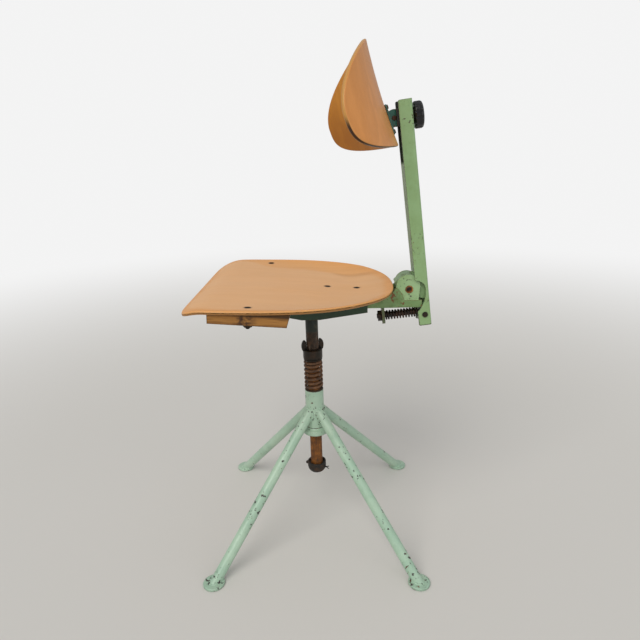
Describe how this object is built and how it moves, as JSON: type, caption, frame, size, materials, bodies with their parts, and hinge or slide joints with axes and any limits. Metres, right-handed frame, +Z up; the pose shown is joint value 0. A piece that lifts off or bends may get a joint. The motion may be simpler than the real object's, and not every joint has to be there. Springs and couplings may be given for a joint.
{
  "type": "workshop chair",
  "caption": "Sprung swivel workshop chair: tubular legs, spindle with height nut, dished plywood seat and a tilting back arm with curved plywood backrest.",
  "frame": {"origin": "on the floor, under the middle of the bounding box", "axes": "+Z up, the sitter faces -X, left is -Y; the swivel axis stands 7.7 mm ahead of the origin"},
  "size_m": [0.4134, 0.398, 0.8817],
  "materials": {
    "base_green": "worn gloss",
    "dark_green": "worn gloss",
    "arm_green": "worn gloss",
    "teal_paint": "worn gloss",
    "black_paint": "satin",
    "rusty_steel": "rusted",
    "dark_steel": "tarnished",
    "bronze": "worn",
    "seat_ply": "worn varnish",
    "block_wood": "worn varnish",
    "back_ply": "satin varnish",
    "black_plastic": "gloss"
  },
  "bodies": {
    "base": {"hub_tube": "base_green", "hub_flange": "base_green", "upper_bush": "bronze", "lower_bush": "bronze", "leg_front_left": "base_green", "leg_front_right": "base_green", "leg_rear_left": "base_green", "leg_rear_right": "base_green", "foot_front_left": "base_green", "foot_front_right": "base_green", "foot_rear_left": "base_green", "foot_rear_right": "base_green"},
    "suspension": {"thrust_washer": "dark_steel", "seat_spring": "rusty_steel"},
    "nut": {"height_nut": "dark_steel"},
    "seat": {"spindle": "rusty_steel", "end_cup": "dark_steel", "cotter_pin": "rusty_steel", "spindle_socket": "dark_green", "seat_spine": "dark_green", "cross_strip": "dark_green", "packing_block_left": "block_wood", "packing_block_right": "block_wood", "front_seat_bolts": "dark_steel", "front_bolt_nuts": "dark_steel", "rear_seat_bolts": "dark_steel", "rear_bolt_nuts": "dark_steel", "seat_pan": "seat_ply", "rear_bracket": "arm_green", "cheek_left": "arm_green", "cheek_right": "arm_green", "pivot_tube": "bronze", "spring_lug": "dark_green"},
    "arm": {"back_arm": "arm_green", "arm_knuckle": "arm_green", "spring_pin": "rusty_steel"},
    "rod": {"spring_rod": "dark_steel", "rod_washer": "dark_steel", "back_spring": "dark_steel", "stop_washer": "dark_steel", "stop_nut": "dark_steel"},
    "slide": {"slide_block": "black_paint", "clamp_bolt": "dark_steel", "clamp_washer": "dark_steel"},
    "knob": {"clamp_knob": "black_plastic", "knob_insert": "bronze"},
    "back": {"back_shell": "back_ply", "back_plate": "teal_paint", "head_pin": "rusty_steel", "back_screws": "dark_steel"}
  },
  "joints": [
    {"name": "seat_bounce", "type": "slide", "parent": "base", "child": "suspension", "axis": [0, 0, 1], "range_m": [-0.016, 0], "stiffness_N_per_m": 42000, "springref_m": 0.0019, "deforming": ["seat_spring"]},
    {"name": "seat_swivel", "type": "hinge", "parent": "suspension", "child": "nut", "pos_m": [-0.00775, 0, 0.3638], "axis": [0, 0, 1], "continuous": true},
    {"name": "seat_height", "type": "slide", "parent": "nut", "child": "seat", "axis": [0, 0, 1], "range_m": [-0.04, 0.044]},
    {"name": "back_tilt", "type": "hinge", "parent": "seat", "child": "arm", "pos_m": [0.16625, 0, 0.486], "axis": [0, 1, 0], "range_deg": [0, 15], "stiffness_Nm_per_rad": 63, "springref_deg": -6.3, "deforming": ["back_spring"]},
    {"name": "rod_pivot", "type": "hinge", "parent": "arm", "child": "rod", "pos_m": [0.19426, 0, 0.441], "axis": [0, 1, 0], "range_deg": [-10.9, 0.2]},
    {"name": "back_height", "type": "slide", "parent": "arm", "child": "slide", "axis": [-0.1139, 0, 0.9935], "range_m": [-0.12, 0]},
    {"name": "knob_turn", "type": "hinge", "parent": "slide", "child": "knob", "pos_m": [0.1737, 0, 0.77221], "axis": [0.9935, 0, 0.1139], "range_deg": [0, 540]},
    {"name": "backrest_pitch", "type": "hinge", "parent": "slide", "child": "back", "pos_m": [0.13684, 0, 0.76799], "axis": [-0.0697, 0.997, -0.0332], "range_deg": [-2, 16]}
  ],
  "couplings": [
    {"joint": "rod_pivot", "follows": "back_tilt", "ratio": -0.7124}
  ]
}
